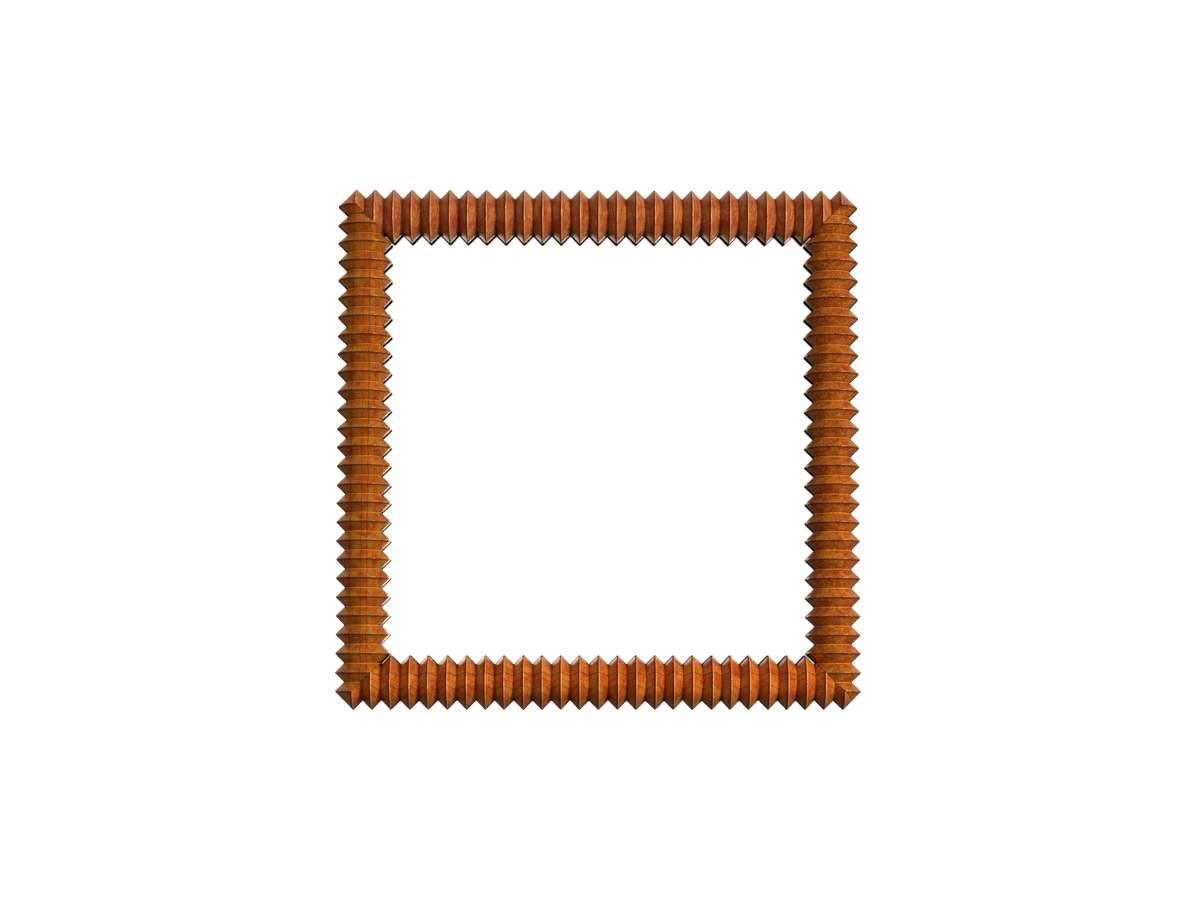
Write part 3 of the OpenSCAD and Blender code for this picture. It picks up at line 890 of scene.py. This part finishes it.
def stained_beech(name, quarter):
    """Beech planed along its grain, X or Z, with a thin black stain that gathers in the pores."""
    material, tree, place = new_material(name)
    turn = (BEECH_TILT[0], quarter * QUARTER + BEECH_TILT[1], 0)
    solid = add(tree, "Mapping", {"Vector": place, "Rotation": turn, "Scale": (BEECH_STRETCH, 1, 1)},
                vector_type="TEXTURE")
    grain = add(tree, "TexNoise", {"Vector": solid, "Scale": noise_scale(BEECH_GRAIN_MM), "Detail": 4.0})
    grain = add(tree, "MapRange", {0: grain, 1: BEECH_GRAIN[0], 2: BEECH_GRAIN[1]})
    pores = add(tree, "TexNoise", {"Vector": solid, "Scale": noise_scale(BEECH_PORE_MM), "Detail": 2.0})
    pores = add(tree, "MapRange", {0: pores, 1: BEECH_PORES[0], 2: BEECH_PORES[1]}, **SMOOTH)
    worn = add(tree, "TexNoise", {"Vector": place, "Scale": noise_scale(RUB_MM), "Detail": 5.0})
    worn = add(tree, "MapRange", {0: worn, 1: RUBBED[0], 2: RUBBED[1], 4: RUB}, **SMOOTH)
    base = add(tree, "Mix", {0: grain, 6: colour("#120d0a"), 7: colour("#2a1f18")}, **BLEND)
    base = add(tree, "Mix", {0: worn, 6: base, 7: colour("#4a3423")}, **BLEND)
    base = add(tree, "Mix", {0: pores, 6: base, 7: colour("#090706")}, **BLEND)
    bump = add(tree, "Bump", {"Height": pores, "Strength": 0.35, "Distance": 0.10 * MM}, invert=True)
    rough = add(tree, "MapRange", {0: grain, 3: BEECH_ROUGH[0], 4: BEECH_ROUGH[1]})
    finished(tree, add(tree, "BsdfPrincipled", {"Base Color": base, "Roughness": rough, "Normal": bump}))
    return material


for side, quarter in (("top", 0), ("bottom", 0), ("left", 1), ("right", 1)):
    member = eased_copy("back_frame_" + side, "mirror", EASE_FRAME_MM)
    member.data.materials.append(stained_beech("black_stained_beech_" + side, quarter))
    print(member.name, len(member.data.polygons), "faces")

# %% [markdown]
# A triangular key of plain beech is glued into a slot across each mitre, which a mitre needs because
# its end grain glues badly. Planed flush, it shows as a pale line in the black edge at each corner. Its
# CAD mesh is right as it is, so it only needs its wood: unstained, with the short darker rays of beech.

# %% Corner keys
KEY_STRETCH = 10
KEY_RAY_MM = 0.5
KEY_RAYS = (0.42, 0.68)
CORNERS = ("top_left", "top_right", "bottom_left", "bottom_right")

key_beech, tree, place = new_material("glued_beech_key")
slant = add(tree, "Mapping", {"Vector": place, "Rotation": (0, math.pi / 4, 0), "Scale": (KEY_STRETCH, 1, 1)},
            vector_type="TEXTURE")
rays = add(tree, "TexNoise", {"Vector": slant, "Scale": noise_scale(KEY_RAY_MM), "Detail": 3.0})
rays = add(tree, "MapRange", {0: rays, 1: KEY_RAYS[0], 2: KEY_RAYS[1]}, **SMOOTH)
base = add(tree, "Mix", {0: rays, 6: colour("#c79a66"), 7: colour("#9a6a3c")}, **BLEND)
bump = add(tree, "Bump", {"Height": rays, "Strength": 0.2, "Distance": 0.1 * MM})
finished(tree, add(tree, "BsdfPrincipled", {"Base Color": base, "Roughness": 0.55, "Normal": bump}))
for corner in CORNERS:
    wear("corner_key_" + corner, key_beech)
print("keys wear", key_beech.name)

# %% [markdown]
# The backboard is tempered hardboard with its screened side out. Wet fibre pressed on a wire screen
# keeps the screen's weave, a fine grid of dimples, with darker and paler fibres lying every way. A
# picture of it would repeat, so the weave is the product of two waves and the fibres are a twisted
# noise, drawn about ten times as wide as real ones, which would not show.

# %% Hardboard back
SCREEN_MM = 1.6
FIBRE_MM = 0.4
FIBRES = (0.35, 0.70)
FIBRE_HEIGHT = 0.8
CLOUD_MM = 60
CLOUDS = (0.35, 0.65)
CLOUD = 0.3
EASE_BOARD_MM = 0.4

hardboard, tree, place = new_material("screened_hardboard")
x, _, z = add(tree, "SeparateXYZ", {0: place}, out=None)
wires = []
for along in (x, z):
    turn = add(tree, "Math", {0: along, 1: 2 * math.pi / (SCREEN_MM * MM)}, operation="MULTIPLY")
    wires.append(add(tree, "Math", {0: turn}, operation="SINE"))
weave = add(tree, "Math", {0: wires[0], 1: wires[1]}, operation="MULTIPLY")
fibre = add(tree, "TexNoise", {"Vector": place, "Scale": noise_scale(FIBRE_MM), "Detail": 3.0,
                               "Distortion": 2.0})
cloud = add(tree, "TexNoise", {"Vector": place, "Scale": noise_scale(CLOUD_MM), "Detail": 5.0})
pale_fibre = add(tree, "MapRange", {0: fibre, 1: FIBRES[0], 2: FIBRES[1]})
cloud = add(tree, "MapRange", {0: cloud, 1: CLOUDS[0], 2: CLOUDS[1], 4: CLOUD})
base = add(tree, "Mix", {0: pale_fibre, 6: colour("#5b3d24"), 7: colour("#8a6540")}, **BLEND)
base = add(tree, "Mix", {0: cloud, 6: base, 7: colour("#4b311c")}, **BLEND)
height = add(tree, "Math", {0: fibre, 1: FIBRE_HEIGHT, 2: weave}, operation="MULTIPLY_ADD")
bump = add(tree, "Bump", {"Height": height, "Strength": 0.6, "Distance": 0.15 * MM})
finished(tree, add(tree, "BsdfPrincipled", {"Base Color": base, "Roughness": 0.7, "Normal": bump}))
board = eased_copy("backboard", "mirror", EASE_BOARD_MM)
board.data.materials.append(hardboard)
print(board.name, len(board.data.polygons), "faces")

# %% [markdown]
# Small packers of pressed felt centre the glass in its rebate. They are hidden, but whoever takes the
# part apart will find them. Matted wool has no gleam, only a faint sheen from the loose ends of its
# fibres, which a twisted noise draws about ten times as wide as they are, so that they show.

# %% Felt packers
WOOL_MM = 0.3

felt, tree, place = new_material("pressed_wool_felt")
wool = add(tree, "TexNoise", {"Vector": place, "Scale": noise_scale(WOOL_MM), "Detail": 4.0,
                              "Distortion": 1.5})
base = add(tree, "Mix", {0: wool, 6: colour("#4d4a45"), 7: colour("#8d887f")}, **BLEND)
bump = add(tree, "Bump", {"Height": wool, "Strength": 0.6, "Distance": 0.3 * MM})
finished(tree, add(tree, "BsdfPrincipled", {"Base Color": base, "Roughness": 0.95, "Sheen Weight": 0.4,
                                            "Sheen Roughness": 0.5, "Normal": bump}))
wear("glass_packers", felt)
print("packers wear", felt.name)

# %% [markdown]
# The metal at the back is of two kinds. Screws, strap plates and rings are brass, bright where it was
# turned or drawn and dulled brown by air in patches. The pins that hold the backboard are bright steel
# wire. A metal is all reflection, but a film of tarnish lies over it, so each patch is partly a plain
# brown surface, which also shows up where there is little to reflect. Fine scratches break the gleam,
# drawn several times as wide as real ones, which would not show, and the slots of the screws are
# darkened with painted shade.

# %% Brass and steel
PATCH_MM = 3
PATCH = (0.42, 0.68)
DULLING = 0.2
METAL_BRIGHT = 0.85
METAL_DULLED = 0.45
SLOT_MM = (0.10, 0.35)


def worn_metal(name, bright, dulled, grain_mm, stretch, rough, face=None):
    """Metal with scratches this wide, drawn out by stretch, and with dulled patches.

    On a screw, face is where its head ends, in metres, and what lies deeper than that is painted shade, dark
    and not metal.
    """
    material, tree, place = new_material(name)
    drawn = add(tree, "Mapping", {"Vector": place, "Scale": stretch}, vector_type="TEXTURE")
    scratch = add(tree, "TexNoise", {"Vector": drawn, "Scale": noise_scale(grain_mm), "Detail": 3.0})
    patch = add(tree, "TexNoise", {"Vector": place, "Scale": noise_scale(PATCH_MM), "Detail": 5.0})
    patch = add(tree, "MapRange", {0: patch, 1: PATCH[0], 2: PATCH[1]}, **SMOOTH)
    base = add(tree, "Mix", {0: patch, 6: colour(bright), 7: colour(dulled)}, **BLEND)
    rough = add(tree, "MapRange", {0: patch, 3: rough, 4: rough + DULLING})
    metal = add(tree, "MapRange", {0: patch, 3: METAL_BRIGHT, 4: METAL_DULLED})
    if face is not None:
        # Painted shade in the slots: what lies deeper than the face of the head is dark and not metal.
        begins, full = [face - depth_mm * MM for depth_mm in SLOT_MM]
        depth = add(tree, "SeparateXYZ", {0: place}, out=1)
        slot_shade = add(tree, "MapRange", {0: depth, 1: begins, 2: full})
        base = add(tree, "Mix", {0: slot_shade, 6: base, 7: colour("#20170c")}, **BLEND)
        outside_slot = add(tree, "Math", {0: 1.0, 1: slot_shade}, operation="SUBTRACT")
        metal = add(tree, "Math", {0: metal, 1: outside_slot}, operation="MULTIPLY")
    bump = add(tree, "Bump", {"Height": scratch, "Strength": 0.15, "Distance": 0.05 * MM})
    finished(tree, add(tree, "BsdfPrincipled", {"Base Color": base, "Metallic": metal, "Roughness": rough,
                                                "Normal": bump}))
    return material


EVEN = (1, 1, 1)
screw_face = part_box("frame_screws")[1].y
strap_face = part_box("hanger_screws")[1].y
turned_brass = worn_metal("turned_brass_screw", "#e6c06a", "#b48c48", 0.15, EVEN, 0.28, screw_face)
strap_brass = worn_metal("bright_brass_screw", "#f2d488", "#d2b068", 0.15, EVEN, 0.24, strap_face)
rolled_brass = worn_metal("rolled_brass_strap", "#e2bc68", "#b48f4e", 0.12, (1, 1, 12), 0.30)
drawn_brass = worn_metal("drawn_brass_wire", "#ecc872", "#bc9650", 0.12, (6, 1, 1), 0.22)
bright_steel = worn_metal("bright_steel_pin", "#d6d5d1", "#a3a19b", 0.10, EVEN, 0.30)
for node, metal in (("frame_screws", turned_brass), ("hanger_screws", strap_brass),
                    ("backboard_pins", bright_steel)):
    wear(node, metal)
    print(node, "wear", metal.name)

# %% [markdown]
# A strap plate is a strip of brass sheet, rolled into a knuckle round the bar of its ring and screwed to
# the frame. It could be a strip bent by a modifier, but the CAD shape already has the roll and the
# countersunk holes, so a copy of it is kept, with its edges eased as tumbling in a drum leaves them.

# %% Strap plates
EASE_STRAP_MM = 0.2

for hand in ("left", "right"):
    strap = eased_copy("hanger_plate_" + hand, "mirror", EASE_STRAP_MM)
    strap.data.materials.append(rolled_brass)
    print(strap.name, len(strap.data.polygons), "faces")

# %% [markdown]
# A D-ring is one length of wire bent round and closed in the bar that its strap hides. It could be a
# curve with a round bevel, but a curve of few points flattens its bends. Here the path of the wire is
# worked out bend by bend in the plane of the ring, and a circle is carried along it, so the surface
# closes on itself both ways and has no seam.

# %% D-rings
BEND_R = 2.6 * MM
WIRE_SIDES = 20
BEND_STEPS = 10
ROUND_BEND_STEPS = 48


def ring_path(half, leg):
    """Points and outward normals of a D: a bar on top, two bends, two legs, and half a circle below.

    Each bend is an arc: its centre, its radius, and the normals (cos t, sin t) from one t to another.
    """
    corner = half - BEND_R
    arcs = [(corner, -BEND_R, BEND_R, np.linspace(math.pi / 2, 0, BEND_STEPS + 1)),
            (0, -leg, half, np.linspace(0, -math.pi, ROUND_BEND_STEPS + 1)),
            (-corner, -BEND_R, BEND_R, np.linspace(math.pi, math.pi / 2, BEND_STEPS + 1))]
    parts = [(x + r * np.cos(t), z + r * np.sin(t), np.cos(t), np.sin(t)) for x, z, r, t in arcs]
    return [np.concatenate(values) for values in zip(*parts)]


def carried_circle(path, radius, centre):
    """Each path point p gives a circle p + r (n cos b + y sin b), where n is its outward normal."""
    x, z, normal_x, normal_z = [values[:, None] for values in path]
    b = np.linspace(0, 2 * math.pi, WIRE_SIDES, endpoint=False)
    points = np.stack([x + radius * normal_x * np.cos(b), radius * np.sin(b) + 0 * x,
                       z + radius * normal_z * np.cos(b)], axis=-1) + centre
    number = np.arange(points.shape[0] * WIRE_SIDES).reshape(-1, WIRE_SIDES)
    ahead = np.roll(number, -1, axis=0)
    faces = np.stack([number, ahead, np.roll(ahead, -1, axis=1), np.roll(number, -1, axis=1)], axis=-1)
    return points.reshape(-1, 3), faces.reshape(-1, 4).tolist()


for hand in ("left", "right"):
    low, high = [np.array(corner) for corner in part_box("hanger_ring_" + hand)]
    wire_r = (high[1] - low[1]) / 2
    half = (high[0] - low[0]) / 2 - wire_r
    centre = np.array([*((low + high) / 2)[:2], high[2] - wire_r])
    leg = centre[2] - half - (low[2] + wire_r)
    ring = mesh_piece("d_ring_" + hand, *carried_circle(ring_path(half, leg), wire_r, centre))
    ring.data.materials.append(drawn_brass)
    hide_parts("hanger_ring_" + hand)
    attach(ring, "ring_" + hand)
    print(ring.name, "wire", round(2 * wire_r / MM, 2), "mm, leg", round(leg / MM, 2), "mm")

# %% [markdown]
# Four moulded rubber pads keep the mirror off the wall. Such a pad has a rounded rim and a shallow cup,
# so that it grips. A cylinder with a bevel would do for the rim but not for the cup, so each pad is a
# profile carried round its axis.

# %% Rubber pads
PAD_SEGMENTS = 48
RIM_STEPS = 8
RIM_R = 0.8 * MM
FOOT_EASE = 0.3 * MM
CUP_IN = (1.8 * MM, 2.3 * MM, 2.7 * MM)
CUP_DOWN = (0, 0.12 * MM, 0.5 * MM)


def moulded_pad(low, high):
    """A profile of radius against depth, from the frame to the wall, carried round the axis Y."""
    radius, depth = (high[0] - low[0]) / 2, high[1] - low[1]
    rim = np.linspace(0, math.pi / 2, RIM_STEPS)
    r = np.concatenate([[radius - FOOT_EASE, radius], radius - RIM_R + RIM_R * np.cos(rim),
                        radius - np.array(CUP_IN)])[:, None]
    d = np.concatenate([[0, FOOT_EASE], depth - RIM_R + RIM_R * np.sin(rim),
                        depth - np.array(CUP_DOWN)])[:, None]
    a = np.linspace(0, 2 * math.pi, PAD_SEGMENTS, endpoint=False)
    body = np.stack([r * np.cos(a), d + 0 * a, r * np.sin(a)], axis=-1)
    poles = [[0, 0, 0], [0, depth - CUP_DOWN[-1], 0]]
    centre = np.array([(low[0] + high[0]) / 2, low[1], (low[2] + high[2]) / 2])
    points = np.concatenate([body.reshape(-1, 3), poles]) + centre
    number = np.arange(body.shape[0] * PAD_SEGMENTS).reshape(-1, PAD_SEGMENTS)
    across = np.roll(number, -1, axis=1)
    faces = np.stack([number[:-1], number[1:], across[1:], across[:-1]], axis=-1).reshape(-1, 4).tolist()
    first, last = len(points) - 2, len(points) - 1
    faces += np.stack([np.full(PAD_SEGMENTS, first), number[0], across[0]], axis=-1).tolist()
    faces += np.stack([np.full(PAD_SEGMENTS, last), across[-1], number[-1]], axis=-1).tolist()
    return points, faces


print("rim rounded", RIM_R / MM, "mm, cup", CUP_DOWN[-1] / MM, "mm deep")

# %% [markdown]
# Rubber is nearly black, has no shine, and is greyed by dust in patches. Its mould was spark-eroded,
# which leaves a fine even grain on its skin, drawn a little coarser than it is, so that it shows.

# %% Rubber, and the pads in their places
RUBBER_GRAIN_MM = 0.15
DUST_MM = 2.5
DUSTY = (0.45, 0.75)
DUST = 0.5

rubber, tree, place = new_material("moulded_black_rubber")
grain = add(tree, "TexNoise", {"Vector": place, "Scale": noise_scale(RUBBER_GRAIN_MM), "Detail": 3.0})
dust = add(tree, "TexNoise", {"Vector": place, "Scale": noise_scale(DUST_MM), "Detail": 5.0})
dust = add(tree, "MapRange", {0: dust, 1: DUSTY[0], 2: DUSTY[1], 4: DUST}, **SMOOTH)
base = add(tree, "Mix", {0: dust, 6: colour("#161514"), 7: colour("#3c3a37")}, **BLEND)
bump = add(tree, "Bump", {"Height": grain, "Strength": 0.3, "Distance": 0.05 * MM})
finished(tree, add(tree, "BsdfPrincipled", {"Base Color": base, "Roughness": 0.75, "Normal": bump}))
for corner in CORNERS:
    low, high = [np.array(edge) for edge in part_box("wall_pad_" + corner)]
    pad = mesh_piece("rubber_pad_" + corner, *moulded_pad(low, high))
    pad.data.materials.append(rubber)
    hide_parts("wall_pad_" + corner)
    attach(pad, "mirror")
print("pads of", len(pad.data.polygons), "faces each")
